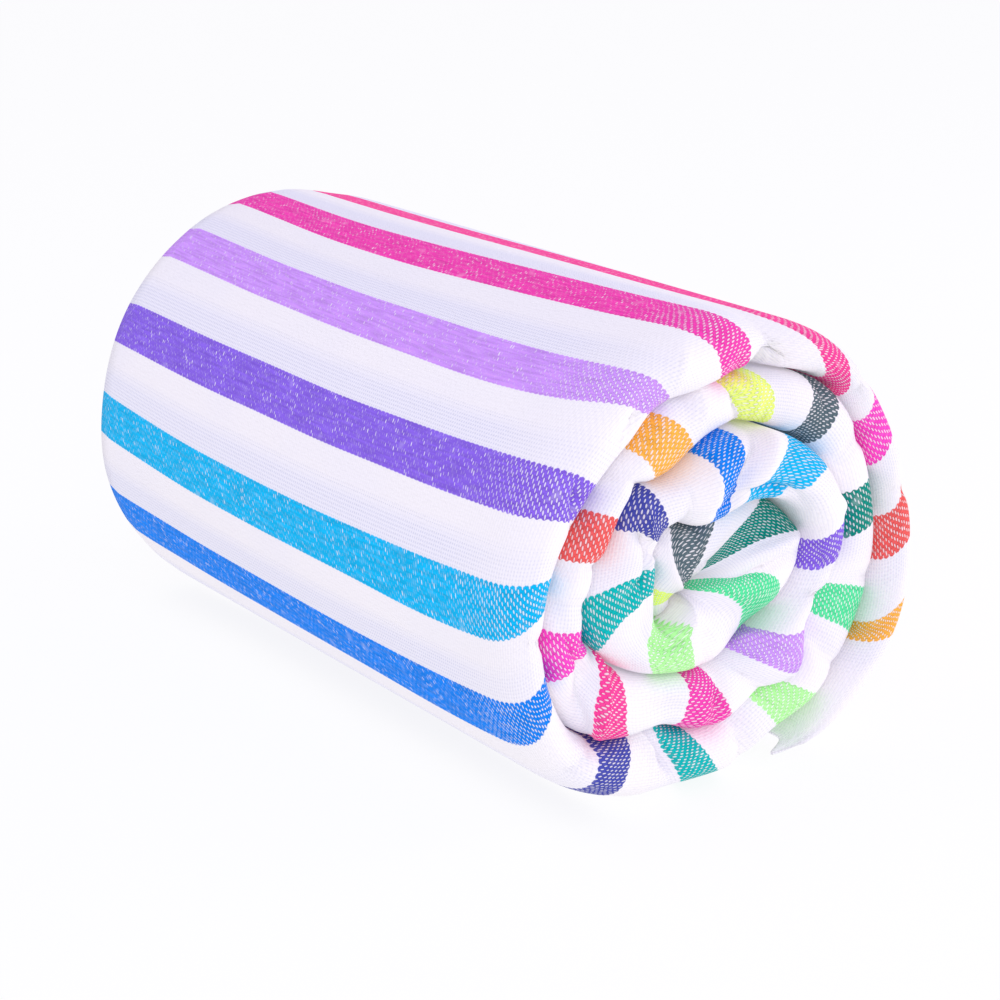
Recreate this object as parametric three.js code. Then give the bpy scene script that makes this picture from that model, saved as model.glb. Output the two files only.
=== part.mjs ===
// Rolled striped beach blanket, lying on its side.
// One woven cotton cloth, folded lengthwise into a soft strip of six layers and rolled up from one end.
// Millimetres, +Z up. The roll's axis runs along Y, the end with the spiral of folds faces -Y, the
// surface is z = 0 and the origin is the middle of the footprint.
import * as THREE from 'three';

// The whole roll.
const ROLL_LENGTH = 321;
const ROLL_MIDDLE_Y = 1.85;
const CORE = { x: -9.75, z: 77.4 };
const FAR_END_SHIFT = -6.5;
const FAR_END_GROWTH = 0.01;

// The strip and how it is wound, counter-clockwise inwards as seen from the front.
const TURN = 360;
const LOOSE_END = -54;
const CORE_END = 1296;
const STATION_STEP = 7.5;
const TURN_GAP = 0.8;
const CORE_HOLE = 1;

// The soft folds that close the strip at both ends of the roll. The rim is rounded further where the
// roll turns up off the surface.
const RIM_ROUNDING = 23;
const FLOOR_LIFT = { depth: 13, deg: 255, half: 38 };
const CREASE_DEPTH = 14;
const CROWN_SHARE = 0.47;
const FOLD_STEPS = 5;
const FOLD_FULLNESS = 0.82;
const FAR_BULGE_SHARE = 0.4;

// The loose end thins out to a lip over its first few degrees.
const LIP_DEGREES = 18;
const LIP_SHARE = 0.5;

// A row for each place along the wound strip, from the loose end to the core. deg is the angle about
// the core from +X, counted on through the turns. radius is how far the strip's outer side is from the
// core there. bulge is how far its fold at the near end stands out, or back where it is negative.
const WINDING = [
  { deg: -60, radius: 87, bulge: -6 },
  { deg: -45, radius: 97.5, bulge: -3 },
  { deg: -20, radius: 104.5, bulge: 0 },
  { deg: 0, radius: 105, bulge: 0 },
  { deg: 30, radius: 104, bulge: 0 },
  { deg: 52, radius: 106, bulge: -1 },
  { deg: 68, radius: 101, bulge: -8 },
  { deg: 82, radius: 99, bulge: 0 },
  { deg: 105, radius: 92, bulge: 0 },
  { deg: 135, radius: 84, bulge: 0 },
  { deg: 165, radius: 79, bulge: -1 },
  { deg: 195, radius: 80, bulge: 0 },
  { deg: 225, radius: 82, bulge: -2 },
  { deg: 255, radius: 81, bulge: -3 },
  { deg: 285, radius: 80, bulge: -4 },
  { deg: 303, radius: 80, bulge: -5 },
  { deg: 318, radius: 85, bulge: -5 },
  { deg: 345, radius: 94, bulge: -6 },
  { deg: 375, radius: 92, bulge: -2 },
  { deg: 405, radius: 92, bulge: -1 },
  { deg: 425, radius: 82, bulge: -6 },
  { deg: 448, radius: 73, bulge: -3 },
  { deg: 462, radius: 72, bulge: 0 },
  { deg: 474, radius: 65, bulge: 1 },
  { deg: 500, radius: 61, bulge: 0 },
  { deg: 530, radius: 62, bulge: -1 },
  { deg: 560, radius: 64, bulge: -3 },
  { deg: 586, radius: 62, bulge: 0 },
  { deg: 612, radius: 49, bulge: 1 },
  { deg: 640, radius: 55, bulge: 1 },
  { deg: 664, radius: 55, bulge: 0 },
  { deg: 680, radius: 66, bulge: 1 },
  { deg: 697, radius: 56, bulge: 1 },
  { deg: 722, radius: 69, bulge: 1 },
  { deg: 750, radius: 71, bulge: 5 },
  { deg: 780, radius: 64, bulge: 6 },
  { deg: 800, radius: 55, bulge: 6 },
  { deg: 820, radius: 47, bulge: 4 },
  { deg: 842, radius: 50, bulge: 1 },
  { deg: 865, radius: 44, bulge: 0 },
  { deg: 902, radius: 45, bulge: 0 },
  { deg: 945, radius: 34, bulge: 2 },
  { deg: 975, radius: 29, bulge: 3 },
  { deg: 1018, radius: 32, bulge: -2 },
  { deg: 1045, radius: 39, bulge: -8 },
  { deg: 1068, radius: 47, bulge: -2 },
  { deg: 1090, radius: 55, bulge: -1 },
  { deg: 1108, radius: 51, bulge: -8 },
  { deg: 1128, radius: 40, bulge: -8 },
  { deg: 1160, radius: 25, bulge: -4 },
  { deg: 1195, radius: 29, bulge: -3 },
  { deg: 1218, radius: 19, bulge: -3 },
  { deg: 1252, radius: 14, bulge: -8 },
  { deg: 1300, radius: 15, bulge: -12 },
  { deg: 1322, radius: CORE_HOLE, bulge: -12 },
  { deg: 1700, radius: CORE_HOLE, bulge: -12 },
];

const cotton = new THREE.MeshStandardMaterial({ color: 0xf1ecf6, roughness: 0.92, metalness: 0 });

function degToRad(deg) {
  return deg * Math.PI / 180;
}

function slopeAt(index, column) {
  const before = WINDING[Math.max(index - 1, 0)];
  const after = WINDING[Math.min(index + 1, WINDING.length - 1)];
  return (after[column] - before[column]) / (after.deg - before.deg);
}

// A smooth curve through the rows of the table: a cubic between each two rows, with the slope at a row
// taken from its two neighbours.
function winding(deg, column) {
  const last = WINDING.length - 1;
  const next = WINDING.findIndex((row, i) => i > 0 && (deg <= row.deg || i === last));
  const a = WINDING[next - 1];
  const b = WINDING[next];
  const span = b.deg - a.deg;
  const t = (deg - a.deg) / span;
  const rise = b[column] - a[column];
  const startSlope = slopeAt(next - 1, column) * span;
  const endSlope = slopeAt(next, column) * span;
  const curve = (startSlope - rise) * (1 - t) - (endSlope - rise) * t;
  return a[column] + t * rise + t * (1 - t) * curve;
}

// The strip's outer side, which lies flat where it would reach below the surface.
function outerRadius(deg) {
  const drop = -Math.sin(degToRad(deg));
  const free = Math.max(winding(deg, 'radius'), CORE_HOLE);
  return drop > 0 ? Math.min(free, CORE.z / drop) : free;
}

// The strip's inner side lies a little off the outer side of the next turn, and rises to a thin lip at
// the loose end.
function innerRadius(deg) {
  const outer = outerRadius(deg);
  const next = Math.max(winding(deg + TURN, 'radius'), CORE_HOLE) + TURN_GAP;
  const along = Math.min((deg - LOOSE_END) / LIP_DEGREES, 1);
  const share = LIP_SHARE + (1 - LIP_SHARE) * Math.sin(along * Math.PI / 2);
  return outer - (outer - next) * share;
}

// Half of the strip's section: a full, soft fold from the outer side over its crown to the inner side,
// a quarter of a superellipse each way. Each point has its radius and its depth behind the crown.
function foldPoints(outer, inner, rounding) {
  const crown = outer - CROWN_SHARE * (outer - inner);
  const points = [];
  for (let i = 0; i <= 2 * FOLD_STEPS; i += 1) {
    const angle = i * Math.PI / (2 * FOLD_STEPS);
    const isOutside = i <= FOLD_STEPS;
    const reach = isOutside ? outer - crown : inner - crown;
    const depth = isOutside ? rounding : CREASE_DEPTH;
    const across = Math.abs(Math.cos(angle)) ** FOLD_FULLNESS;
    const forward = Math.abs(Math.sin(angle)) ** FOLD_FULLNESS;
    points.push({ r: crown + reach * across, depth: depth * (1 - forward) });
  }
  return points;
}

// How far the strip's outer side is rounded back at the ends of the roll: at the rim in the first turn,
// and as deep as the creases between two turns after that.
function rimRounding(deg) {
  if (deg > LOOSE_END + TURN) {
    return CREASE_DEPTH;
  }
  const away = (deg - FLOOR_LIFT.deg) / FLOOR_LIFT.half;
  return RIM_ROUNDING + FLOOR_LIFT.depth * Math.exp(-away * away);
}

// The strip's whole section at one angle, as a closed loop of points in space.
function stationLoop(deg) {
  const outer = outerRadius(deg);
  const inner = innerRadius(deg);
  const rounding = rimRounding(deg);
  const bulge = winding(deg, 'bulge');
  const nearEnd = ROLL_MIDDLE_Y - ROLL_LENGTH / 2 - bulge;
  const farEnd = ROLL_MIDDLE_Y + ROLL_LENGTH / 2 + FAR_BULGE_SHARE * bulge;
  const fold = foldPoints(outer, inner, rounding);
  const near = fold.map((p) => ({ r: p.r, y: nearEnd + p.depth }));
  const far = fold.map((p) => ({ r: p.r, y: farEnd - p.depth })).reverse();
  return [...near, ...far].map((p) => placed(p.r, p.y, deg));
}

// A point of the roll, with the roll's slight lean and growth towards its far end.
function placed(r, y, deg) {
  const along = (y - ROLL_MIDDLE_Y) / ROLL_LENGTH + 0.5;
  const x = CORE.x + r * Math.cos(degToRad(deg)) + FAR_END_SHIFT * along;
  const z = CORE.z + r * Math.sin(degToRad(deg));
  return new THREE.Vector3(x, y, Math.max(z, 0) * (1 + FAR_END_GROWTH * along));
}

// The strip swept through all its stations, with a flat cap at the loose end and one at the core.
function woundStrip() {
  const stations = [];
  for (let deg = LOOSE_END; deg <= CORE_END; deg += STATION_STEP) {
    stations.push(stationLoop(deg));
  }
  const size = stations[0].length;
  const points = stations.flat();
  const faces = [];
  for (let i = 0; i + 1 < stations.length; i += 1) {
    for (let j = 0; j < size; j += 1) {
      const a = i * size + j;
      const b = i * size + (j + 1) % size;
      faces.push([a, b + size, b], [a, a + size, b + size]);
    }
  }
  addCap(points, faces, 0, size, false);
  addCap(points, faces, (stations.length - 1) * size, size, true);
  const geometry = new THREE.BufferGeometry().setFromPoints(points);
  geometry.setIndex(faces.flat());
  geometry.computeVertexNormals();
  return geometry;
}

function addCap(points, faces, start, size, facesOnward) {
  const middle = new THREE.Vector3();
  points.slice(start, start + size).forEach((p) => middle.add(p));
  points.push(middle.divideScalar(size));
  const centre = points.length - 1;
  for (let j = 0; j < size; j += 1) {
    const a = start + j;
    const b = start + (j + 1) % size;
    faces.push(facesOnward ? [b, a, centre] : [a, b, centre]);
  }
}

const blanket = new THREE.Mesh(woundStrip(), cotton);
blanket.name = 'rolled_blanket';

const part = new THREE.Group();
part.add(blanket);

export default part;
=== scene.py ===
"""Rolled striped beach blanket in woven cotton.

The cloth is 2.0 m wide and 1.5 m long. It is folded in thirds and then in half into a strip of six layers,
and the strip is rolled up from one end and lies on its side. The roll's axis runs along Y, the end with the
spiral of folds faces -Y, and the loose end lies on the floor at the lower right of that end.

Lengths in the tables are millimetres and angles are degrees about the roll's core, counted on through the
turns from the loose end inwards. Meshes are made in metres.
"""
import logging
import math
from dataclasses import dataclass
from enum import Enum
from typing import NamedTuple

import bpy
import numpy as np
from mathutils import Matrix, Vector


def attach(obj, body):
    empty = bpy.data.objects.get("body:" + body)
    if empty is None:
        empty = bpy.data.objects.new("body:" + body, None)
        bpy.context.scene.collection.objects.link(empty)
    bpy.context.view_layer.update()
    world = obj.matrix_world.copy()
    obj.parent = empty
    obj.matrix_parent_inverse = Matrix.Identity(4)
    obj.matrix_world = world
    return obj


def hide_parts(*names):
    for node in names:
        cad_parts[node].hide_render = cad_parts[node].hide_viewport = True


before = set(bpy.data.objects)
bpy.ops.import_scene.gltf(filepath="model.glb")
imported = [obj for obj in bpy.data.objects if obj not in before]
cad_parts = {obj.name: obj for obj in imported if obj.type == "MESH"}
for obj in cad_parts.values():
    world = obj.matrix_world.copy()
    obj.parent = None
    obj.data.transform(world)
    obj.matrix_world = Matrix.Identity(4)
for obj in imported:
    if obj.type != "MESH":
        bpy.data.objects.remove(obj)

LOG = logging.getLogger("rolled_blanket")
MM = 0.001
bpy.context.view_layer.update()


class Yarn(Enum):
    """The sixteen dyed weft colours, in the order in which they follow each other along the cloth."""

    ORANGE = "#F9B046"
    CORAL = "#EA5C5A"
    MAGENTA = "#F84AC2"
    PINK = "#F84298"
    HOT_PINK = "#F040AC"
    LILAC = "#CA94F2"
    PURPLE = "#8662DE"
    CYAN = "#02B4EA"
    BLUE = "#0280EC"
    NAVY = "#464CA8"
    TEAL = "#04B4B2"
    LIME = "#B0F89C"
    GREEN = "#52E09A"
    DARK_GREEN = "#088678"
    GREY = "#54666E"
    YELLOW = "#EAFF7C"


class Turn(NamedTuple):
    """One row of the winding: the outer side of the strip at a winding angle.

    Attributes:
        deg: Winding angle.
        radius: Distance of the strip's outer side from the core, in millimetres.
        bulge: How far the fold stands out of the end, in millimetres.
    """

    deg: float
    radius: float
    bulge: float


WINDING: tuple[Turn, ...] = (
    Turn(-80, 74, -10), Turn(-60, 87, -6), Turn(-45, 97.5, -3), Turn(-20, 104.5, 0), Turn(0, 105, 0),
    Turn(30, 104, 0), Turn(52, 106, -1), Turn(68, 101, -8), Turn(82, 99, 0), Turn(105, 92, 0),
    Turn(135, 84, 0), Turn(165, 79, -1), Turn(195, 80, 0), Turn(225, 82, -2), Turn(255, 81, -3),
    Turn(285, 80, -4), Turn(303, 80, -5), Turn(318, 85, -5), Turn(345, 92, -6), Turn(375, 89.5, -2),
    Turn(405, 92, -1), Turn(425, 82, -6), Turn(448, 73, -3), Turn(462, 72, 0), Turn(474, 65, 1),
    Turn(500, 61, 0), Turn(530, 62, -1), Turn(560, 64, -3), Turn(586, 62, 0), Turn(612, 49, 1),
    Turn(640, 55, 1), Turn(664, 55, 0), Turn(680, 66, 1), Turn(697, 56, 1), Turn(722, 69, 1),
    Turn(750, 71, 5), Turn(780, 64, 6), Turn(800, 55, 6), Turn(820, 47, 4), Turn(842, 50, 1),
    Turn(865, 44, 0), Turn(902, 45, 0), Turn(945, 34, 2), Turn(975, 29, 3), Turn(1018, 32, -2),
    Turn(1045, 39, -8), Turn(1068, 47, -2), Turn(1090, 55, -1), Turn(1108, 51, -8), Turn(1128, 40, -8),
    Turn(1160, 25, -4), Turn(1195, 29, -3), Turn(1218, 19, -3), Turn(1252, 14, -8), Turn(1300, 15, -12),
    Turn(1322, 1, -12), Turn(1700, 1, -12),
)


class StripeRow(NamedTuple):
    """Where one coloured stripe crosses the strip, as winding angles.

    Attributes:
        yarn: Colour of the stripe, or None for a short edge of the cloth.
        cloth: Place of the stripe's middle along the cloth, in millimetres from the loose end.
        rim: Angle where its first edge goes over the outer crease or the roll's rim.
        rim_end: Angle where its last edge does.
        crease: Angle where its first edge goes into the inner crease.
        crease_end: Angle where its last edge does.
        near: Angle of its middle on the roll's body, 50 mm behind the rim.
        middle: Angle of its middle halfway along the body.
        far: Angle of its middle at the far end.
    """

    yarn: Yarn | None
    cloth: float
    rim: float
    rim_end: float
    crease: float
    crease_end: float
    near: float | None = None
    middle: float | None = None
    far: float | None = None


STRIPES: tuple[StripeRow, ...] = (
    StripeRow(None, 0, -51.0, -51.0, -56.0, -56.0, -53, -52, -53),
    StripeRow(Yarn.ORANGE, 60, -18.5, -6.0, -26.0, -21.5, -11, -10, -11),
    StripeRow(Yarn.CORAL, 105, 6.0, 16.5, -6.0, 5.0, 13, 15, 14),
    StripeRow(Yarn.MAGENTA, 150, 31.0, 41.0, 18.5, 31.0, 39, 42, 41),
    StripeRow(Yarn.PINK, 195, 56.0, 65.5, 38.5, 46.5, 66, 70, 69),
    StripeRow(Yarn.HOT_PINK, 240, 79.5, 91.0, 68.0, 79.5, 90, 92, 89.5),
    StripeRow(Yarn.LILAC, 285, 107.6, 118.9, 96.5, 102.5, 116, 115.5, 113),
    StripeRow(Yarn.PURPLE, 330, 135.4, 148.7, 128.8, 141.0, 143.8, 143.5, 142),
    StripeRow(Yarn.CYAN, 375, 166.2, 181.5, 158.5, 166.5, 175.6, 175.5, 171),
    StripeRow(Yarn.BLUE, 420, 198.2, 213.0, 188.5, 196.5, 207, 206, 203),
    StripeRow(Yarn.NAVY, 465, 233.5, 244.0, 228.0, 241.0, 240, 240, 235),
    StripeRow(Yarn.TEAL, 510, 272.0, 285.0, 254.0, 270.0, 275, 273, 268),
    StripeRow(Yarn.LIME, 555, 304.5, 319.5, 301.2, 314.5, 309, 306, 303),
    StripeRow(Yarn.GREEN, 600, 334.5, 347.3, 340.9, 350.7),
    StripeRow(Yarn.DARK_GREEN, 645, 367.7, 378.5, 362.7, 378.1),
    StripeRow(Yarn.GREY, 690, 402.4, 412.1, 398.2, 406.4),
    StripeRow(Yarn.YELLOW, 735, 425.0, 437.5, 414.5, 424.3),
    StripeRow(Yarn.ORANGE, 780, 463.0, 474.0, 445.0, 470.4),
    StripeRow(Yarn.CORAL, 825, 497.7, 515.2, 491.1, 510.6),
    StripeRow(Yarn.MAGENTA, 870, 538.1, 557.5, 541.0, 552.5),
    StripeRow(Yarn.PINK, 915, 587.0, 601.0, 554.0, 573.0),
    StripeRow(Yarn.HOT_PINK, 960, 617.9, 649.0, 623.7, 642.0),
    StripeRow(Yarn.LILAC, 1005, 682.0, 700.0, 667.3, 685.0),
    StripeRow(Yarn.PURPLE, 1050, 719.2, 736.9, 717.1, 727.5),
    StripeRow(Yarn.CYAN, 1095, 751.7, 771.0, 763.4, 783.5),
    StripeRow(Yarn.BLUE, 1140, 791.0, 807.0, 790.5, 799.0),
    StripeRow(Yarn.NAVY, 1185, 833.4, 856.9, 835.0, 841.0),
    StripeRow(Yarn.TEAL, 1230, 890.8, 919.0, 852.9, 873.2),
    StripeRow(Yarn.LIME, 1275, 958.0, 995.0, 903.0, 945.0),
    StripeRow(Yarn.GREEN, 1320, 1028.0, 1057.0, 1086.0, 1113.0),
    StripeRow(Yarn.DARK_GREEN, 1365, 1090.4, 1110.7, 1117.5, 1127.6),
    StripeRow(Yarn.GREY, 1410, 1145.0, 1178.0, 1132.0, 1228.0),
    StripeRow(Yarn.YELLOW, 1455, 1241.7, 1273.4, 1246.4, 1272.6),
    StripeRow(None, 1500, 1300.0, 1300.0, 1300.0, 1300.0),
)


class Dent(NamedTuple):
    """A soft trough or ridge pressed into the cloth.

    Attributes:
        deg: Winding angle of its middle.
        across: Its middle across the strip, in millimetres from the crown of the near fold, into the spiral.
        length: Half its length, in millimetres.
        width: Half its width, in millimetres.
        tilt: Angle of its length from the winding direction, in degrees.
        height: Height of the ridge in millimetres, below 0 for a trough.
    """

    deg: float
    across: float
    length: float
    width: float
    tilt: float
    height: float


DENTS: tuple[Dent, ...] = (
    Dent(64, 8, 8, 3.4, 95, -8.0), Dent(66, -10, 20, 6, 100, -3.4), Dent(72, 3, 10, 4, 95, 1.6),
    Dent(96, -2, 10, 3.5, 60, 2.4), Dent(112, 3, 8, 2.4, 25, -3.4), Dent(138, 3, 8, 2.6, 40, -4.2),
    Dent(180, 6, 12, 3, 80, -2.4), Dent(225, 4, 13, 3, 70, -3.0), Dent(251, 9, 12, 2.4, 122, 4.0),
    Dent(256, 8, 11, 4.6, 117, -9.0), Dent(290, 2, 14, 3.5, 80, -3.0), Dent(330, 2, 14, 4, 70, -3.0),
    Dent(350, -1, 12, 3.5, 100, -2.4), Dent(12, 0, 14, 5, 80, -2.4), Dent(40, 2, 12, 4, 95, -2.4),
    Dent(390, -2, 12, 3.5, 80, -3.0), Dent(407, -7, 8, 2.5, 121, -3.0), Dent(431, -1, 10, 2.6, 115, -7.0),
    Dent(425, 0, 10, 3, 112, 2.0), Dent(447, -6, 9, 4, 75, 3.0), Dent(480, 1, 12, 3, 105, -3.0),
    Dent(515, 2, 12, 3, 100, -3.0), Dent(530, -2, 12, 3, 85, -2.2), Dent(548, 1, 9, 2.2, 25, -3.4),
    Dent(568, -6, 20, 3.4, 140, -6.0), Dent(574, 1, 22, 2.4, 125, 4.6), Dent(604, 2, 15, 4, 165, -2.6),
    Dent(640, 0, 12, 3, 75, -3.4), Dent(662, 3, 12, 3, 100, -3.0), Dent(684, 13, 14, 3, 115, 3.0),
    Dent(708, 0, 12, 3, 80, -3.2), Dent(722, 6, 12, 3.5, 60, -3.4), Dent(738, 4, 14, 3, 95, 2.4),
    Dent(752, 3, 14, 5, 178, 2.0), Dent(772, 9, 16, 3, 175, -5.0), Dent(780, -7, 13, 4.5, 81, 3.2),
    Dent(788, -7, 15, 3.2, 74, -6.0), Dent(805, -4, 10, 3, 80, 2.4), Dent(820, 4, 12, 3, 80, -3.0),
    Dent(845, -1, 9, 2.2, 60, 4.0), Dent(851, 1, 8, 2.4, 92, -5.5), Dent(861, 4, 12, 2.6, 20, -4.6),
    Dent(878, 3, 10, 2.5, 139, -3.6), Dent(944, 3, 16, 3, 176, -3.0), Dent(1000, 0, 12, 3, 80, -3.0),
    Dent(1089, -1, 16, 3, 82, -5.0), Dent(1094, -13, 12, 2.5, 82, 3.8), Dent(1140, 0, 12, 3, 80, -2.4),
    Dent(126, -60, 60, 15, 84, -1.6), Dent(156, -95, 80, 16, 92, -1.4), Dent(100, -150, 90, 14, 88, -1.3),
    Dent(190, -50, 50, 13, 96, -1.5),
)


def smooth_curve(x: np.ndarray, knots: np.ndarray, values: np.ndarray) -> np.ndarray:
    """Smooth curve through a table, with the slope at each knot taken from its two neighbours.

    Between two knots the value is a + t rise + t (1 - t) ((s0 - rise) (1 - t) - (s1 - rise) t), where s0 and
    s1 are the slopes times the knots' distance.

    Args:
        x: Places at which the curve is wanted.
        knots: Rising places of the table's rows.
        values: The table's values, one row per knot, with any number of columns.

    Returns:
        The values at x, with the columns of the table.
    """
    slopes = np.empty_like(values)
    slopes[1:-1] = ((values[2:] - values[:-2]).T / (knots[2:] - knots[:-2])).T
    slopes[0] = (values[1] - values[0]) / (knots[1] - knots[0])
    slopes[-1] = (values[-1] - values[-2]) / (knots[-1] - knots[-2])
    index = np.clip(np.searchsorted(knots, x, side="right") - 1, 0, len(knots) - 2)
    span = knots[index + 1] - knots[index]
    t = np.clip((x - knots[index]) / span, 0.0, 1.0)
    if values.ndim > x.ndim:
        t, span = t[..., None], span[..., None]
    rise = values[index + 1] - values[index]
    bend = (slopes[index] * span - rise) * (1 - t) - (slopes[index + 1] * span - rise) * t
    return values[index] + t * rise + t * (1 - t) * bend


@dataclass(frozen=True)
class Spiral:
    """The wound form of the strip: its two sides and its bulge at each winding angle."""

    core_x: float = -9.75
    core_z: float = 77.4
    turn_gap: float = 0.8
    core_hole: float = 1.0
    lip_start: float = -54.0
    lip_degrees: float = 18.0
    lip_share: float = 0.5

    def _table(self, deg: np.ndarray, column: int) -> np.ndarray:
        """Smooth value of one column of the winding at the given angles."""
        knots = np.array([row.deg for row in WINDING], float)
        values = np.array([row[column] for row in WINDING], float)
        return smooth_curve(deg, knots, values)

    def bulge(self, deg: np.ndarray) -> np.ndarray:
        """How far the fold stands out of the end at the given angles, in millimetres."""
        return self._table(deg, 2)

    def outer(self, deg: np.ndarray) -> np.ndarray:
        """Radius of the strip's outer side: the table's, but no lower than the floor."""
        radius = np.maximum(self._table(deg, 1), self.core_hole)
        down = -np.sin(np.radians(deg))
        floor = np.where(down > 0.05, self.core_z / np.maximum(down, 0.05), 1e6)
        return np.minimum(radius, floor)

    def inner(self, deg: np.ndarray) -> np.ndarray:
        """Radius of the inner side: just outside the next turn, and drawn in to a lip at the loose end."""
        outer = self.outer(deg)
        below = np.maximum(self._table(deg + 360.0, 1), self.core_hole) + self.turn_gap
        below = np.minimum(below, outer - 0.5)
        turn = np.clip((deg - self.lip_start) / self.lip_degrees, 0.0, 1.0) * math.pi / 2
        share = self.lip_share + (1 - self.lip_share) * np.sin(turn)
        return outer - (outer - below) * share


class Layer(Enum):
    """The six layers of the strip, numbered from the outer side of a turn to the inner side."""

    A_OUT = 0
    B_OUT = 1
    C_OUT = 2
    C_IN = 3
    B_IN = 4
    A_IN = 5


@dataclass(frozen=True)
class Run:
    """One stretch of the cloth's width, as the path takes it across the strip.

    Attributes:
        kind: "flat" for a layer, "near" for a fold at the near end, "far" for one at the far end.
        start: Layer in which it starts.
        end: Layer in which it ends.
        steps: Number of mesh steps.
        towards: For a flat layer, -1 where the path runs to the near end and 1 where it runs to the far end.
    """

    kind: str
    start: Layer
    end: Layer
    steps: int
    towards: int = -1


RUNS: tuple[Run, ...] = (
    Run("flat", Layer.A_OUT, Layer.A_OUT, 26, -1),
    Run("near", Layer.A_OUT, Layer.A_IN, 28),
    Run("flat", Layer.A_IN, Layer.A_IN, 6, 1),
    Run("far", Layer.A_IN, Layer.B_IN, 3),
    Run("flat", Layer.B_IN, Layer.B_IN, 2, -1),
    Run("near", Layer.B_IN, Layer.B_OUT, 4),
    Run("flat", Layer.B_OUT, Layer.B_OUT, 2, 1),
    Run("far", Layer.B_OUT, Layer.C_OUT, 3),
    Run("flat", Layer.C_OUT, Layer.C_OUT, 2, -1),
    Run("near", Layer.C_OUT, Layer.C_IN, 4),
    Run("flat", Layer.C_IN, Layer.C_IN, 2, 1),
)


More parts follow.
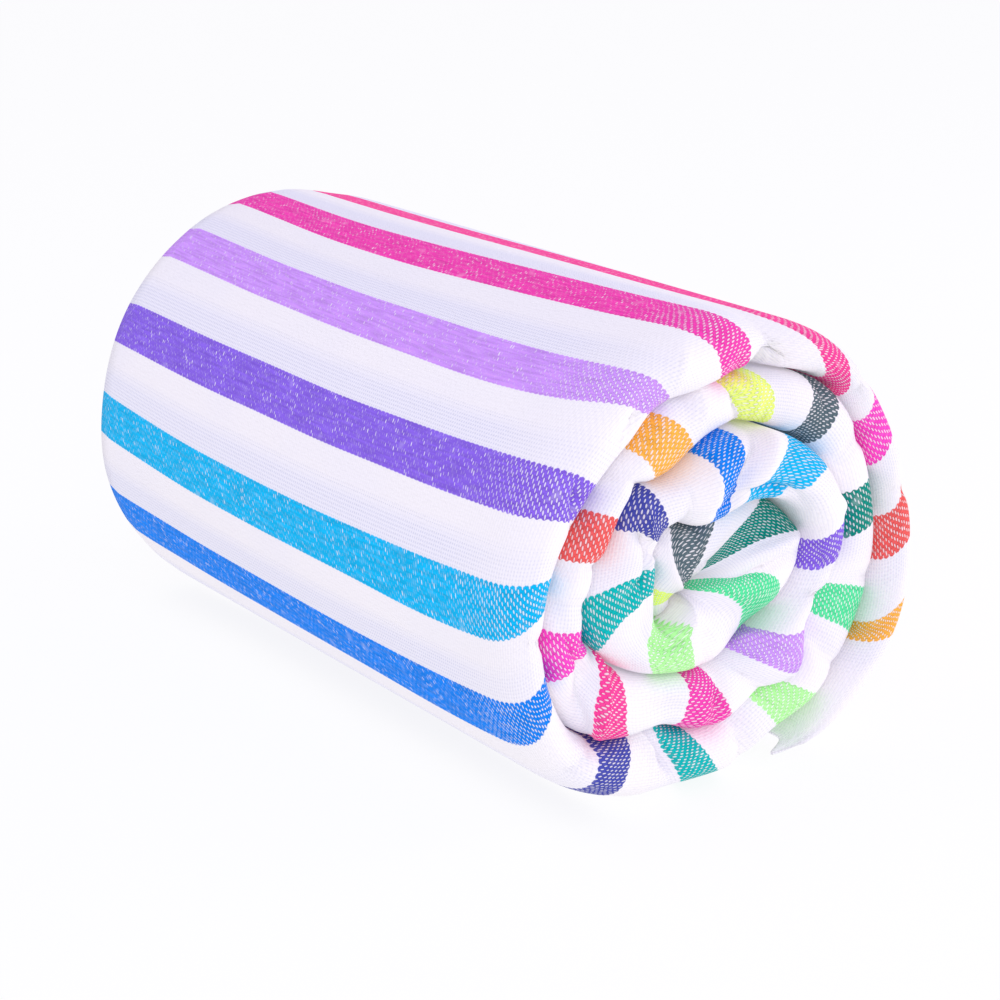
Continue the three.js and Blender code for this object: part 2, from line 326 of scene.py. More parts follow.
@dataclass
class RolledCloth:
    """The whole cloth as one thin sheet, folded into the strip's six layers and wound up."""

    name: str = "woven_blanket"
    node: str = "rolled_blanket"
    width: float = 2000.0
    length: float = 1500.0
    roll_length: float = 321.0
    middle_y: float = 1.85
    far_shift: float = -4.5
    far_growth: float = 0.01
    rim_rounding: float = 23.0
    crease_depth: float = 14.0
    crown_share: float = 0.47
    fullness: float = 0.82
    far_bulge_share: float = 0.4
    far_pinch: float = 0.5
    far_inset: float = 4.0
    far_hoop: float = 0.13
    set_backs: tuple[float, ...] = (0.0, 8.0, 14.0, 14.0, 8.0, 0.0)
    staggers: tuple[float, ...] = (1.0, 2.5, 2.5, 0.0, 1.5, 1.5)
    hidden_from: float = 306.0
    hidden_over: float = 4.0
    cloth_step: float = 2.6
    stripe_width: float = 19.5
    floor_lift: float = 13.0
    floor_lift_deg: float = 255.0
    floor_lift_half: float = 38.0
    pleat: float = 7.0
    pleat_place: float = 3.68
    pleat_half: float = 0.12
    pleat_length: float = 24.0
    thickness: float = 0.7
    spiral: Spiral = Spiral()

    def angle_columns(self, cloth: np.ndarray) -> np.ndarray:
        """Winding angle at each place along the cloth, for the six marks across the strip.

        Args:
            cloth: Places along the cloth, in millimetres from the loose end.

        Returns:
            Array of a row per place, with the columns far, middle, near, rim, crease and hidden.
        """
        places, edges, middles, bodies = [], [], [], []
        for row in STRIPES:
            half = 0.0 if row.yarn is None else self.stripe_width / 2
            hidden = (row.rim + row.rim_end + row.crease + row.crease_end) / 4
            body = [hidden if angle is None else angle for angle in (row.far, row.middle, row.near)]
            middles.append(row.cloth)
            bodies.append(body + [hidden])
            places.append(row.cloth - half)
            edges.append((row.rim, row.crease))
            if half > 0:
                places.append(row.cloth + half)
                edges.append((row.rim_end, row.crease_end))
        visible = smooth_curve(cloth, np.array(places, float), np.array(edges, float))
        unseen = smooth_curve(cloth, np.array(middles, float), np.array(bodies, float))
        return np.concatenate([unseen[:, :3], visible, unseen[:, 3:]], axis=1)

    def fold_depth(self, deg: np.ndarray, share: np.ndarray) -> np.ndarray:
        """Depth of a fold's rounding at each side of the strip.

        Args:
            deg: Winding angles.
            share: 0 at the strip's outer side, 1 at its inner side.

        Returns:
            The roll's rim rounding where the outer side shows, and the crease's depth elsewhere.
        """
        shows = 1.0 / (1.0 + np.exp((deg - self.hidden_from) / self.hidden_over))
        lift = self.floor_lift * np.exp(-((deg - self.floor_lift_deg) / self.floor_lift_half) ** 2)
        outside = self.crease_depth + (self.rim_rounding + lift - self.crease_depth) * shows
        return outside + (self.crease_depth - outside) * share

    def across(self) -> list[tuple[Run, np.ndarray]]:
        """Each run of the cloth's width with its shares, from 0 to 1, a step each."""
        out = []
        for index, run in enumerate(RUNS):
            share = np.linspace(0.0, 1.0, run.steps + 1)
            out.append((run, share if index == 0 else share[1:]))
        return out

    def places(self) -> np.ndarray:
        """Place of each line of the mesh among the six marks across the strip, 0 for far to 5 for hidden."""
        place = []
        for index, (run, share) in enumerate(self.across()):
            if index == 0:
                place.append(0.0 + 3.0 * share)
            elif index == 1:
                place.append(3.0 + share)
            else:
                step = 0.0 if index > 2 else 1.0
                place.append(5.0 - step * (1 - np.clip(share * 4, 0, 1)))
        return np.concatenate(place)

    def marks(self) -> np.ndarray:
        """How much each of the six marks across the strip counts at each line of the mesh.

        Returns:
            Array of a row per line across the cloth and a column per mark.
        """
        return smooth_curve(self.places(), np.arange(6.0), np.eye(6))

    def pleated(self, cloth: np.ndarray, deg: np.ndarray) -> np.ndarray:
        """Winding angles with the pleat at the loose end, where the inner layers stick out.

        The angle falls back by pleat exp(-(cloth / length)^2 - ((place - middle) / half)^2).
        """
        over = np.exp(-((self.places() - self.pleat_place) / self.pleat_half) ** 2)
        near = np.exp(-(cloth / self.pleat_length) ** 2)
        return deg - self.pleat * near[:, None] * over[None, :]

    def section(self, deg: np.ndarray) -> tuple[np.ndarray, np.ndarray]:
        """Radius and place along the axis of every mesh point.

        A near fold is a rounded arch: with the angle a from 0 to 180 degrees, its radius is
        crown + reach |cos a|^fullness and its depth is rounding (1 - |sin a|^fullness).

        Args:
            deg: Winding angles, a row per station and a column per line across the cloth.

        Returns:
            Radius and place along the axis, in millimetres, in the same layout.
        """
        outer, inner = self.spiral.outer(deg), self.spiral.inner(deg)
        bulge = self.spiral.bulge(deg)
        thick = outer - inner
        near_end = self.middle_y - self.roll_length / 2 - bulge
        far_end = self.middle_y + self.roll_length / 2 + self.far_bulge_share * bulge
        radius, place = np.empty_like(deg), np.empty_like(deg)
        first = 0
        for run, share in self.across():
            cols = slice(first, first + len(share))
            first += len(share)
            d, o, t = deg[:, cols], outer[:, cols], thick[:, cols]
            near, far = near_end[:, cols], far_end[:, cols]
            crown = o - self.crown_share * t
            if run.kind == "near":
                radius[:, cols], place[:, cols] = self._near_fold(run, share, d, o, t, near)
            elif run.kind == "flat":
                level = run.start.value / 5
                depth = self.fold_depth(d, level)
                set_back = self._set_back(run.start)
                begin = near + depth + set_back
                nested = far - self.far_inset - self._stagger(run.start, d)
                way = share if run.towards > 0 else 1 - share
                y = begin + (nested - begin) * way
                rim = np.clip((y - (far - depth)) / depth, 0.0, 1.0)
                pinch = np.clip(1.0 - rim ** (2 / self.fullness), 0.0, 1.0) ** (self.fullness / 2)
                pinch = np.maximum(pinch, self.far_pinch)
                radius[:, cols] = crown + (o - t * level - crown) * pinch
                place[:, cols] = y
            else:
                level = (run.start.value + (run.end.value - run.start.value) * share) / 5
                y0 = far - self.far_inset - self._stagger(run.start, d)
                y1 = far - self.far_inset - self._stagger(run.end, d)
                hoop = self.far_hoop * t * np.sin(share * math.pi)
                radius[:, cols] = crown + (o - t * level - crown) * self.far_pinch
                place[:, cols] = y0 + (y1 - y0) * share + hoop
        return radius, place

    def _set_back(self, layer: Layer) -> float:
        """How far the near fold of a layer lies behind that of the outermost layer."""
        return self.set_backs[layer.value]

    def _stagger(self, layer: Layer, deg: np.ndarray) -> np.ndarray:
        """How far a layer stops short of the far end, in millimetres, a little uneven round the roll."""
        turn = np.radians(deg)
        slow, fast = np.sin(0.7 * turn + layer.value), np.sin(2.3 * turn + 2 * layer.value)
        return self.staggers[layer.value] + 0.8 * slow + 0.5 * fast

    def _near_fold(self, run: Run, share: np.ndarray, deg: np.ndarray, outer: np.ndarray,
                   thick: np.ndarray, near: np.ndarray) -> tuple[np.ndarray, np.ndarray]:
        """One rounded fold at the near end, from its first layer to its last.

        Args:
            run: The run of cloth in the fold.
            share: Shares of the run, 0 to 1.
            deg: Winding angles.
            outer: Radius of the strip's outer side.
            thick: Thickness of the strip.
            near: Place of the crown along the axis.

        Returns:
            Radius and place along the axis.
        """
        high, low = run.start.value / 5, run.end.value / 5
        crown = outer - self.crown_share * thick
        angle = share * math.pi
        side = np.where(np.cos(angle) >= 0, high, low)
        reach = (outer - thick * side) - crown
        radius = crown + reach * np.abs(np.cos(angle)) ** self.fullness
        depth = self.fold_depth(deg, side)
        place = near + self._set_back(run.start) + depth * (1 - np.abs(np.sin(angle)) ** self.fullness)
        return radius, place

    def points(self) -> tuple[np.ndarray, np.ndarray, np.ndarray]:
        """Every mesh point, with its place on the cloth.

        Returns:
            Points in millimetres (stations, lines, 3), place along the cloth (stations) and place across it
            (stations, lines) in millimetres, measured from the crown of the near fold.
        """
        cloth = np.linspace(0.0, self.length, int(round(self.length / self.cloth_step)) + 1)
        deg = self.pleated(cloth, self.angle_columns(cloth) @ self.marks().T)
        radius, place = self.section(deg)
        flat = self._placed(radius, place, deg)
        across = self._across_length(flat)
        flat = self._dented(flat, deg, radius, across)
        flat[..., 2] = np.maximum(flat[..., 2], 0.0)
        return flat, cloth, across

    def _placed(self, radius: np.ndarray, place: np.ndarray, deg: np.ndarray) -> np.ndarray:
        """Points from radius, place along the axis and winding angle, with the far end a little higher."""
        turn = np.radians(deg)
        along = (place - self.middle_y) / self.roll_length + 0.5
        x = self.spiral.core_x + radius * np.cos(turn) + self.far_shift * along
        z = np.maximum(self.spiral.core_z + radius * np.sin(turn), 0.0) * (1 + self.far_growth * along)
        return np.stack([x, place, z], axis=-1)

    def _across_length(self, points: np.ndarray) -> np.ndarray:
        """Length of cloth from the crown of the outermost near fold to each point, across the strip."""
        step = np.linalg.norm(np.diff(points, axis=1), axis=2)
        length = np.concatenate([np.zeros((len(points), 1)), np.cumsum(step, axis=1)], axis=1)
        crown = RUNS[0].steps + RUNS[1].steps // 2
        return length - length[:, crown:crown + 1]

    def _dented(self, points: np.ndarray, deg: np.ndarray, radius: np.ndarray,
                across: np.ndarray) -> np.ndarray:
        """Points moved along the cloth's normal by the soft troughs and ridges.

        Each one is a crease with a softly rounded edge: height exp(-(l / length)^2) exp(1 - sqrt(1 + (2 w /
        width)^2)), with l and w measured along and across it on the cloth.
        """
        along = np.gradient(points, axis=0)
        over = np.gradient(points, axis=1)
        normal = np.cross(along, over)
        normal /= np.maximum(np.linalg.norm(normal, axis=2, keepdims=True), 1e-9)
        lift = np.zeros(points.shape[:2])
        for dent in DENTS:
            way = np.radians(deg - dent.deg) * np.maximum(radius, 10.0)
            side = across - dent.across
            c, s = math.cos(math.radians(dent.tilt)), math.sin(math.radians(dent.tilt))
            length, width = way * c + side * s, -way * s + side * c
            edge = 1.0 - np.sqrt(1.0 + (2.0 * width / dent.width) ** 2)
            lift += dent.height * np.exp(edge - (length / dent.length) ** 2)
        return points + normal * lift[..., None]

    def build(self, material: bpy.types.Material) -> bpy.types.Object:
        """Make the cloth's mesh, its map and its thickness, attach it to the root and hide the part it
        replaces.

        Args:
            material: Finish of the cloth.

        Returns:
            The finished object.
        """
        points, cloth, across = self.points()
        stations, lines = points.shape[:2]
        mesh = bpy.data.meshes.new(self.name)
        corner = np.arange(stations * lines).reshape(stations, lines)
        quads = np.stack([corner[:-1, :-1], corner[:-1, 1:], corner[1:, 1:], corner[1:, :-1]], axis=-1)
        quads = quads.reshape(-1, 4)[:, ::-1]
        mesh.vertices.add(stations * lines)
        mesh.vertices.foreach_set("co", (points * MM).astype(np.float32).ravel())
        mesh.loops.add(quads.size)
        mesh.loops.foreach_set("vertex_index", quads.astype(np.int32).ravel())
        mesh.polygons.add(len(quads))
        mesh.polygons.foreach_set("loop_start", np.arange(0, quads.size, 4, dtype=np.int32))
        mesh.polygons.foreach_set("use_smooth", np.ones(len(quads), bool))
        mesh.update(calc_edges=True)
        mesh.validate()
        grid = np.stack([np.broadcast_to(cloth[:, None], across.shape), across], axis=-1).reshape(-1, 2)
        layer = mesh.uv_layers.new(name="cloth")
        layer.data.foreach_set("uv", (grid[quads.ravel()] * MM).astype(np.float32).ravel())
        mesh.materials.append(material)
        blanket = bpy.data.objects.new(self.name, mesh)
        bpy.context.collection.objects.link(blanket)
        solid = blanket.modifiers.new("cloth thickness", "SOLIDIFY")
        solid.thickness = self.thickness * MM
        solid.offset = -1.0
        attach(blanket, "root")
        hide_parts(self.node)
        return blanket


def linear(hex_colour: str) -> tuple[float, float, float, float]:
    """Linear colour from an sRGB hex code such as "#F8F5FC"."""
    parts = [int(hex_colour[i:i + 2], 16) / 255 for i in (1, 3, 5)]
    red, green, blue = (c / 12.92 if c <= 0.04045 else ((c + 0.055) / 1.055) ** 2.4 for c in parts)
    return red, green, blue, 1.0


Wire = bpy.types.Node | bpy.types.NodeSocket


class NodeDesk:
    """A material's node tree, to which nodes are added with their settings and links."""

    def __init__(self, material: bpy.types.Material) -> None:
        """Start with the empty node tree of the material."""
        material.use_nodes = True
        self.tree = material.node_tree
        self.tree.nodes.clear()

    def add(self, kind: str, *values: object, named: dict | None = None,
            **settings: object) -> bpy.types.Node:
        """Add one node.

        Args:
            kind: Node type, without its first word.
            values: Number, colour or wire for each of its first inputs. A node stands for its first output.
            named: The same for inputs given by name or number.
            settings: Properties of the node.

        Returns:
            The new node.
        """
        node = self.tree.nodes.new("ShaderNode" + kind)
        for key, value in settings.items():
            setattr(node, key, value)
        for key, value in {**dict(enumerate(values)), **(named or {})}.items():
            if isinstance(value, bpy.types.Node):
                value = value.outputs[0]
            if isinstance(value, bpy.types.NodeSocket):
                self.tree.links.new(value, node.inputs[key])
            else:
                node.inputs[key].default_value = value
        return node


class Ground(NamedTuple):
    """Wires that every part of the weave reads.

    Attributes:
        place: The cloth's own map, in metres.
        along: Place along the cloth, in millimetres.
        across: Place across it, in millimetres from the crown of the near fold.
        clear: 1 on the folds at the roll's end, where the weave is crisp, and 0 along its body.
        slub: Fine unevenness of the yarns.
    """

    place: Wire
    along: Wire
    across: Wire
    clear: Wire
    slub: Wire


class Warp(NamedTuple):
    """Wires of the white warp yarns.

    Attributes:
        rib: Distance from the middle of the nearest warp yarn, in pitches.
        oval: Mask of the ovals where each of them passes over a weft.
        show: How white each oval shows, all alike on the folds and a few bright specks along the body.
        shadow: Mask of the small shadow round each oval.
    """

    rib: Wire
    oval: Wire
    show: Wire
    shadow: Wire


class Stripes(NamedTuple):
    """Wires of the coloured stripes.

    Attributes:
        mask: 1 inside a stripe.
        yarn: Colour of the dyed yarn.
        inside: Place within a pitch, from -0.5 to 0.5, with the stripe about 0.
    """

    mask: Wire
    yarn: Wire
    inside: Wire


@dataclass(frozen=True)
class WovenCotton:
    """Plain-weave cotton: white warp along the roll's turns, and doubled weft, white or dyed in stripes.

    Each white warp yarn passes over every second weft, so a coloured stripe is sprinkled with staggered
    white ovals, and its edges are lobed by the last coloured weft. The ovals are crisp on the folds at the
    roll's end, and slim and heathered along its body. Half of each white band is painted darker and cooler
    as shade, and is woven more openly, so that small painted shadows show between its yarns. The cloth is
    matt and a little fuzzy. Both yarn pitches are drawn somewhat coarser than real yarn, so that they show.

    Attributes:
        warp_pitch: Distance between warp yarns along the roll's body, in millimetres.
        weft_pitch: Distance between wefts, in millimetres.
        oval_length: Half the length of an oval, in millimetres.
        oval_width: Half the width of an oval, in millimetres.
        oval_tilt: Angle of the ovals from the warp, in degrees.
        stray: How far a warp yarn's ovals stray along the body, in double wefts.
        fold_stray: The same on the folds.
        drift: How far the stripes drift along the cloth, in millimetres.
        body_end: Place across the cloth up to which it looks as along the body, in millimetres.
        fold_start: Place across the cloth from which it looks as on the folds, in millimetres.
        stripe_pitch: Distance between the middles of two stripes, in millimetres.
        stripe_width: Width of a coloured stripe, in millimetres.
        stripe_count: Number of coloured stripes.
        first_stripe: Place of the first stripe's middle from the loose end, in millimetres.
        soft_edge: Half the width over which a stripe's edge fades, in millimetres.
        hem: Width of the hem at the loose end, in millimetres.
        white: Colour of the white yarn.
        shade_and_cloud_tint: Colour of the painted shade on one half of each white band, and of its random
            cloudy tone.
        hollow: Colour of the shadows between yarns.
        painted_fill_glow: Painted light, a share of the cloth's own colour that glows to tint and lighten
            its shade.
    """

    name: str = "woven_cotton"
    warp_pitch: float = 1.33
    weft_pitch: float = 1.5
    oval_length: float = 0.95
    oval_width: float = 0.27
    oval_tilt: float = 14.0
    stray: float = 0.6
    fold_stray: float = 0.1
    drift: float = 1.6
    body_end: float = -58.0
    fold_start: float = -10.0
    stripe_pitch: float = 45.0
    stripe_width: float = 19.5
    stripe_count: int = 32
    first_stripe: float = 60.0
    soft_edge: float = 0.25
    hem: float = 9.0
    white: str = "#F0ECEF"
    shade_and_cloud_tint: str = "#E8E6F0"
    hollow: str = "#A9ADCE"
    painted_fill_glow: float = 0.11

    def material(self) -> bpy.types.Material:
        """Build the cotton's material."""
        material = bpy.data.materials.new(self.name)
        desk = NodeDesk(material)
        ground = self._ground(desk)
        warp = self._warp(desk, ground)
        stripes = self._stripes(desk, ground)
        dyed = self._dyed(desk, ground, warp, stripes)
        plain = self._plain(desk, ground, warp, stripes)
        colour = desk.add("Mix", stripes.mask, named={6: plain, 7: dyed}, data_type="RGBA").outputs[2]
        height = self._height(desk, ground, warp)
        bump = desk.add("Bump", named={"Height": height, "Strength": 0.55, "Distance": 0.3 * MM})
        # Painted light: the cloth glows faintly in its own colour, to tint and lighten its shade in place of
        # bounced light.
        shader = desk.add("BsdfPrincipled", named={
            "Base Color": colour, "Roughness": 0.9, "Normal": bump, "Specular IOR Level": 0.1,
            "Sheen Weight": 0.02, "Sheen Roughness": 0.5,
            "Emission Color": colour, "Emission Strength": self.painted_fill_glow})
        desk.add("OutputMaterial", shader)
        return material

    def _ground(self, desk: NodeDesk) -> Ground:
        """The cloth's map in millimetres, with its slow drift and its fine unevenness."""
        place = desk.add("UVMap", uv_map="cloth")
        split = desk.add("SeparateXYZ", place)
        along = desk.add("Math", split.outputs["X"], 1 / MM, operation="MULTIPLY")
        across = desk.add("Math", split.outputs["Y"], 1 / MM, operation="MULTIPLY")
        drift = desk.add("TexNoise", named={"Vector": place, "Scale": 9.0, "Detail": 1.0})
        drift = desk.add("Math", drift, self.drift, -self.drift / 2, operation="MULTIPLY_ADD")
        along = desk.add("Math", along, drift, operation="ADD")
        clear = desk.add("MapRange", across, self.body_end, self.fold_start, interpolation_type="SMOOTHSTEP")
        slub = desk.add("TexNoise", named={"Vector": place, "Scale": 260.0, "Detail": 2.0})
        return Ground(place, along, across, clear, slub)

    def _warp(self, desk: NodeDesk, ground: Ground) -> Warp:
        """Warp yarns and their ovals, each an ellipse sqrt(first^2 + second^2) = 1 turned by the tilt."""
        column = desk.add("Math", ground.across, self.warp_pitch, operation="DIVIDE")
        number = desk.add("Math", column, operation="ROUND")
        off = desk.add("Math", column, number, operation="SUBTRACT")
        odd = desk.add("Math", number, operation="ABSOLUTE")
        odd = desk.add("Math", odd, 2.0, operation="MODULO")
        stagger = desk.add("Math", odd, 0.5, operation="MULTIPLY")
        luck = desk.add("TexWhiteNoise", named={"W": number}, noise_dimensions="1D")
        stray = desk.add("Mix", ground.clear, named={2: self.stray, 3: self.fold_stray})
        shift = desk.add("Math", luck, stray, stagger, operation="MULTIPLY_ADD")
        repeat = 2 * self.weft_pitch
        turn = desk.add("Math", ground.along, repeat, operation="DIVIDE")
        turn = desk.add("Math", turn, shift, operation="ADD")
        way = desk.add("Math", turn, operation="FRACT")
        way = desk.add("Math", way, 0.5, operation="SUBTRACT")
        c, s = math.cos(math.radians(self.oval_tilt)), math.sin(math.radians(self.oval_tilt))
        long, slim = self.oval_length, self.oval_width
        first = desk.add("Math", off, self.warp_pitch * s / long, operation="MULTIPLY")
        first = desk.add("Math", way, repeat * c / long, first, operation="MULTIPLY_ADD")
        second = desk.add("Math", off, self.warp_pitch * c / slim, operation="MULTIPLY")
        second = desk.add("Math", way, -repeat * s / slim, second, operation="MULTIPLY_ADD")
        spot = desk.add("CombineXYZ", first, second)
        far = desk.add("VectorMath", spot, operation="LENGTH").outputs["Value"]
        size = desk.add("Math", ground.clear, -0.15, 0.85, operation="MULTIPLY_ADD")
        size = desk.add("Math", ground.slub, -1.5, size, operation="MULTIPLY_ADD")
        far = desk.add("Math", far, size, operation="ADD")
        oval = desk.add("MapRange", far, 1.12, 0.72, interpolation_type="SMOOTHSTEP")
        halo = desk.add("MapRange", far, 1.7, 1.2, interpolation_type="SMOOTHSTEP")
        shadow = desk.add("Math", halo, oval, operation="SUBTRACT")
        row = desk.add("Math", turn, operation="FLOOR")
        cell = desk.add("CombineXYZ", number, row)
        luck = desk.add("TexWhiteNoise", cell, noise_dimensions="2D")
        speck = desk.add("Math", luck, 4.0, operation="POWER")
        speck = desk.add("Math", speck, 0.8, 0.12, operation="MULTIPLY_ADD")
        white = desk.add("Mix", ground.clear, named={2: speck, 3: 0.72})
        show = desk.add("Math", oval, white, operation="MULTIPLY")
        return Warp(desk.add("Math", off, operation="ABSOLUTE"), oval, show, shadow)

    def _stripes(self, desk: NodeDesk, ground: Ground) -> Stripes:
        """The coloured stripes, with edges that are lobed on the folds and straighter along the body."""
        start = self.first_stripe - self.stripe_pitch / 2
        pitch = desk.add("Math", ground.along, start, operation="SUBTRACT")
        pitch = desk.add("Math", pitch, self.stripe_pitch, operation="DIVIDE")
        number = desk.add("Math", pitch, operation="FLOOR")
        inside = desk.add("Math", pitch, operation="FRACT")
        inside = desk.add("Math", inside, 0.5, operation="SUBTRACT")
        lobe = desk.add("Math", ground.across, math.pi / self.warp_pitch, operation="MULTIPLY")
        lobe = desk.add("Math", lobe, operation="COSINE")
        reach = desk.add("Math", ground.clear, 0.24, 0.09, operation="MULTIPLY_ADD")
        lobe = desk.add("Math", lobe, reach, operation="MULTIPLY")
        away = desk.add("Math", inside, self.stripe_pitch, lobe, operation="MULTIPLY_ADD")
        away = desk.add("Math", away, operation="ABSOLUTE")
        half = self.stripe_width / 2
        mask = desk.add("MapRange", away, half + self.soft_edge, half - self.soft_edge,
                        interpolation_type="SMOOTHSTEP")
        on_cloth = desk.add("Math", number, (self.stripe_count - 1) / 2, self.stripe_count / 2,
                            operation="COMPARE")
        mask = desk.add("Math", mask, on_cloth, operation="MULTIPLY")
        count = len(Yarn)
        wheel = desk.add("Math", number, float(count), operation="MODULO")
        wheel = desk.add("Math", wheel, 1 / count, 0.5 / count, operation="MULTIPLY_ADD")
        ramp = desk.add("ValToRGB", wheel)
        ramp.color_ramp.interpolation = "CONSTANT"
        stops = ramp.color_ramp.elements
        for index, dye in enumerate(Yarn):
            stop = stops[index] if index < 2 else stops.new(index / count)
            stop.position = index / count
            stop.color = linear(dye.value)
        return Stripes(mask, ramp, inside)

    def _dyed(self, desk: NodeDesk, ground: Ground, warp: Warp, stripes: Stripes) -> Wire:
        """Colour of a dyed stripe: weft yarns of uneven shade under the ovals of the white warp."""
        spot = desk.add("CombineXYZ", ground.along, ground.across)
        spot = desk.add("VectorMath", spot, (0.9, 0.06, 0.0), operation="MULTIPLY")
        streak = desk.add("TexNoise", named={"Vector": spot, "Scale": 1.0, "Detail": 2.0})
        shade = desk.add("MapRange", streak, 0.3, 0.7, 0.84, 1.12)
        depth = desk.add("Math", ground.clear, -0.2, -0.06, operation="MULTIPLY_ADD")
        halo = desk.add("Math", warp.shadow, depth, 1.0, operation="MULTIPLY_ADD")
        shade = desk.add("Math", shade, halo, operation="MULTIPLY")
        dyed = desk.add("VectorMath", stripes.yarn, shade, operation="MULTIPLY")
        blotch = desk.add("TexNoise", named={"Vector": ground.place, "Scale": 95.0, "Detail": 1.0})
        thin = desk.add("MapRange", blotch, 0.66, 0.78, 0.0, 0.18, interpolation_type="SMOOTHSTEP")
        fuzz = desk.add("MapRange", ground.slub, 0.45, 0.75, 0.0, 0.05, interpolation_type="SMOOTHSTEP")
        share = desk.add("Math", thin, fuzz, operation="MAXIMUM")
        share = desk.add("Math", warp.show, share, operation="MAXIMUM")
        return desk.add("Mix", share, named={6: dyed, 7: linear(self.white)}, data_type="RGBA").outputs[2]

    def _plain(self, desk: NodeDesk, ground: Ground, warp: Warp, stripes: Stripes) -> Wire:
        """Colour of a white band: a half of open weave painted darker as shade, and fine lines between the
        warp yarns.
        """
        # Painted shade: one half of each white band is drawn darker and cooler, mixed with random cloudy
        # tone; both are weaker on the folds.
        cloud = desk.add("TexNoise", named={"Vector": ground.place, "Scale": 22.0, "Detail": 1.0})
        cloud = desk.add("MapRange", cloud, 0.35, 0.75, 0.0, 0.25, interpolation_type="SMOOTHSTEP")
        onward = desk.add("Math", stripes.inside, 0.6, operation="ADD")
        onward = desk.add("Math", onward, operation="FRACT")
        starts = desk.add("MapRange", onward, 0.0, 0.22, interpolation_type="SMOOTHSTEP")
        ends = desk.add("MapRange", onward, 0.6, 0.5, interpolation_type="SMOOTHSTEP")
        shade = desk.add("Math", starts, ends, operation="MULTIPLY")
        shade = desk.add("Math", shade, cloud, operation="MAXIMUM")
        weaker = desk.add("Math", ground.clear, -0.6, 1.0, operation="MULTIPLY_ADD")
        shade = desk.add("Math", shade, weaker, operation="MULTIPLY")
        white = desk.add("Mix", shade, named={6: linear(self.white), 7: linear(self.shade_and_cloud_tint)},
                         data_type="RGBA").outputs[2]
        weft = desk.add("Math", ground.along, math.pi / self.weft_pitch, operation="MULTIPLY")
        weft = desk.add("Math", weft, operation="COSINE")
        weft = desk.add("Math", weft, operation="ABSOLUTE")
        weft = desk.add("MapRange", weft, 0.35, 1.0, interpolation_type="SMOOTHSTEP")
        gap = desk.add("MapRange", warp.rib, 0.16, 0.45, interpolation_type="SMOOTHSTEP")
        gap = desk.add("Math", gap, weft, operation="MULTIPLY")
        starts = desk.add("MapRange", stripes.inside, -0.5, -0.42, interpolation_type="SMOOTHSTEP")
        ends = desk.add("MapRange", stripes.inside, -0.2, -0.25, interpolation_type="SMOOTHSTEP")
        before = desk.add("Math", starts, ends, operation="MULTIPLY")
        after = desk.add("MapRange", stripes.inside, 0.44, 0.5, interpolation_type="SMOOTHSTEP")
        open_weave = desk.add("Math", before, after, operation="MAXIMUM")
        strength = desk.add("Math", ground.clear, -0.16, 0.38, operation="MULTIPLY_ADD")
        strength = desk.add("Math", open_weave, strength, 0.04, operation="MULTIPLY_ADD")
        gap = desk.add("Math", gap, strength, operation="MULTIPLY")
        line = desk.add("MapRange", warp.rib, 0.3, 0.5, interpolation_type="SMOOTHSTEP")
        faint = desk.add("Math", ground.clear, 0.11, 0.06, operation="MULTIPLY_ADD")
        line = desk.add("Math", line, faint, operation="MULTIPLY")
        hidden = desk.add("Math", line, gap, operation="MAXIMUM")
        return desk.add("Mix", hidden, named={6: white, 7: linear(self.hollow)}, data_type="RGBA").outputs[2]

    def _height(self, desk: NodeDesk, ground: Ground, warp: Warp) -> Wire:
        """Height of the cloth's face: the ovals, the round wefts, the warp yarns and the hem's seam."""
        weft = desk.add("Math", ground.along, math.pi / self.weft_pitch, operation="MULTIPLY")
        weft = desk.add("Math", weft, operation="SINE")
        weft = desk.add("Math", weft, operation="ABSOLUTE")
        weft = desk.add("Math", weft, 0.6, operation="MULTIPLY")
        height = desk.add("Math", warp.oval, weft, operation="MAXIMUM")
        ribs = desk.add("Math", warp.rib, -0.7, 0.35, operation="MULTIPLY_ADD")
        height = desk.add("Math", height, ribs, operation="ADD")
        seam = desk.add("Math", ground.along, self.hem, operation="SUBTRACT")
        seam = desk.add("Math", seam, operation="ABSOLUTE")
        seam = desk.add("MapRange", seam, 0.0, 1.4, interpolation_type="SMOOTHSTEP")
        turned = desk.add("MapRange", ground.along, self.hem + 0.6, self.hem, 0.0, 1.5,
                          interpolation_type="SMOOTHSTEP")
        return desk.add("Math", height, seam, turned, operation="MULTIPLY_ADD")


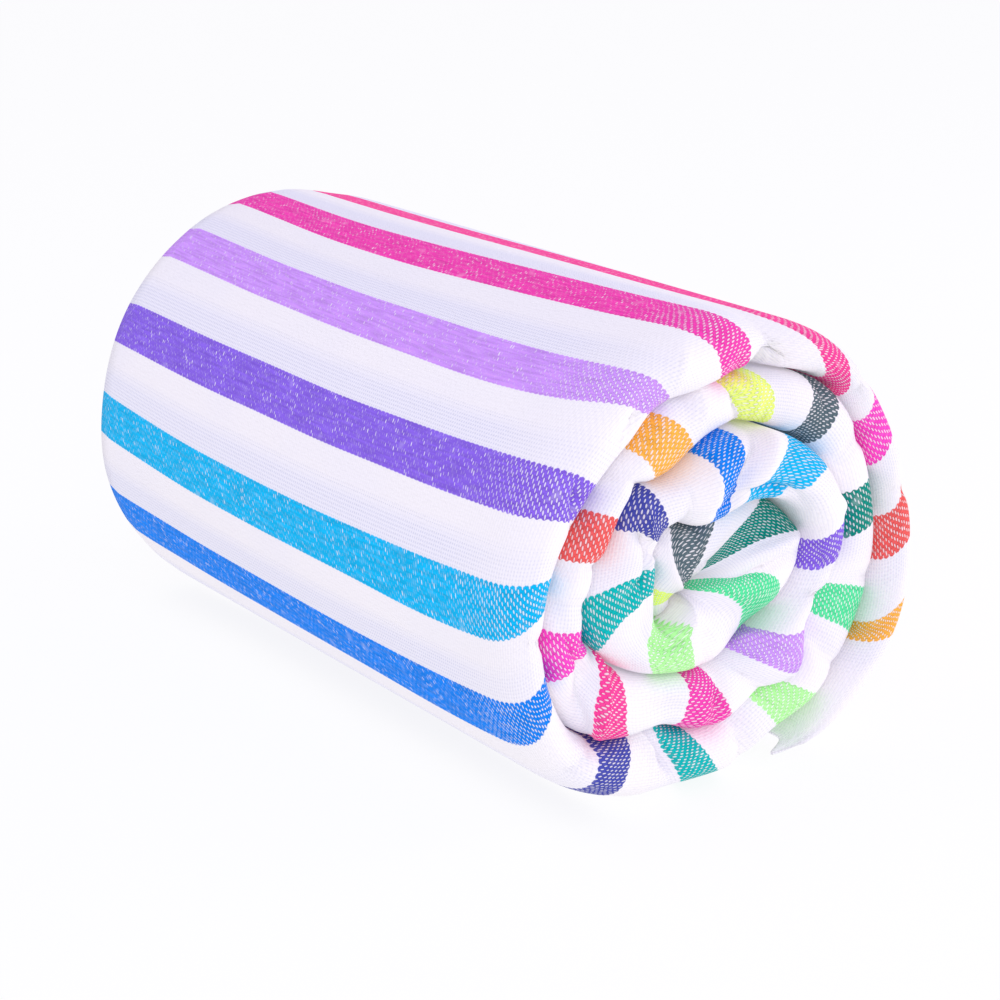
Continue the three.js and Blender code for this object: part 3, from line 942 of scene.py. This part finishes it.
@dataclass(frozen=True)
class Studio:
    """Plain pale floor, soft light from all sides, and the camera.

    Attributes:
        azimuth: Camera's angle about Z from -Y towards +X, in degrees.
        elevation: Camera's angle above the floor, in degrees.
        roll: Camera's turn about its own axis, in degrees.
        distance: Distance to the point that it looks at, in metres.
        aim: Point that it looks at, in metres.
        lens: Focal length in millimetres on a 36 mm sensor.
        floor_half: Half the side of the floor, in metres.
        floor_grey: Colour of the floor.
        floor_glow: Strength of the floor's own light.
        sky: Colour of the surroundings.
        sky_strength: Strength of their light.
    """

    azimuth: float = -33.84
    elevation: float = 18.74
    roll: float = -1.82
    distance: float = 0.97758
    aim: tuple[float, float, float] = (0.0089, -0.0056, 0.07015)
    lens: float = 86.32
    floor_half: float = 6.0
    floor_grey: str = "#626264"
    floor_glow: float = 0.88
    sky: str = "#EFEDFE"
    sky_strength: float = 0.83

    def camera(self) -> bpy.types.Object:
        """Place the camera, with its axes worked out from its angles."""
        a, e, r = (math.radians(x) for x in (self.azimuth, self.elevation, self.roll))
        back = Vector((math.sin(a) * math.cos(e), -math.cos(a) * math.cos(e), math.sin(e)))
        right = Vector((math.cos(a), math.sin(a), 0.0))
        up = back.cross(right)
        side = right * math.cos(r) + up * math.sin(r)
        top = up * math.cos(r) - right * math.sin(r)
        spot = Vector(self.aim) + back * self.distance
        data = bpy.data.cameras.new("camera")
        data.lens = self.lens
        data.sensor_width = 36.0
        data.clip_start = 0.01
        camera = bpy.data.objects.new("camera", data)
        axes = Matrix((side, top, back)).transposed().to_4x4()
        camera.matrix_world = Matrix.Translation(spot) @ axes
        bpy.context.collection.objects.link(camera)
        bpy.context.scene.camera = camera
        return camera

    def floor(self) -> bpy.types.Object:
        """Wide pale floor, a little bright of its own so that the roll hardly shades it."""
        mesh = bpy.data.meshes.new("floor")
        s = self.floor_half
        mesh.from_pydata([(-s, -s, 0), (s, -s, 0), (s, s, 0), (-s, s, 0)], [], [(0, 1, 2, 3)])
        material = bpy.data.materials.new("pale_floor")
        desk = NodeDesk(material)
        shader = desk.add("BsdfPrincipled", named={
            "Base Color": linear(self.floor_grey), "Roughness": 0.9, "Specular IOR Level": 0.0,
            "Emission Color": linear("#FFFFFF"), "Emission Strength": self.floor_glow})
        desk.add("OutputMaterial", shader)
        mesh.materials.append(material)
        floor = bpy.data.objects.new("floor", mesh)
        bpy.context.collection.objects.link(floor)
        return floor

    def lamp(self, name: str, spot: tuple[float, float, float], size: float, power: float,
             colour: str) -> bpy.types.Object:
        """Add a square soft lamp that shines at the roll.

        Args:
            name: Name of the lamp.
            spot: Place of the lamp, in metres.
            size: Side of the lamp, in metres.
            power: Power in watts.
            colour: Colour of its light.

        Returns:
            The lamp.
        """
        data = bpy.data.lights.new(name, "AREA")
        data.energy = power
        data.size = size
        data.color = linear(colour)[:3]
        lamp = bpy.data.objects.new(name, data)
        lamp.location = spot
        way = Vector((0.0, 0.0, 0.08)) - Vector(spot)
        lamp.rotation_euler = way.to_track_quat("-Z", "Y").to_euler()
        bpy.context.collection.objects.link(lamp)
        return lamp

    def light(self) -> None:
        """Set the white surroundings and the soft lamps."""
        world = bpy.data.worlds.new("studio")
        world.use_nodes = True
        sky = world.node_tree.nodes["Background"]
        sky.inputs["Color"].default_value = linear(self.sky)
        sky.inputs["Strength"].default_value = self.sky_strength
        bpy.context.scene.world = world
        self.lamp("front", (-0.5, -1.1, 0.45), 0.8, 3.0, "#FCFAFF")
        self.lamp("side", (1.3, -0.7, 0.4), 0.8, 6.8, "#FFFBF8")
        self.lamp("top", (-0.6, 0.4, 1.5), 0.9, 3.2, "#FFFFFF")
        view = bpy.context.scene.view_settings
        view.view_transform = "Standard"
        view.look = "None"


def main() -> None:
    """Build the studio and the blanket, and log the blanket's face count."""
    logging.basicConfig(level=logging.INFO, format="%(message)s")
    studio = Studio()
    studio.camera()
    studio.floor()
    studio.light()
    LOG.info("studio: camera, floor and light")
    cotton = WovenCotton().material()
    blanket = RolledCloth().build(cotton)
    LOG.info("blanket: %d faces before thickness", len(blanket.data.polygons))
    bpy.context.view_layer.update()


if __name__ == "__main__":
    main()
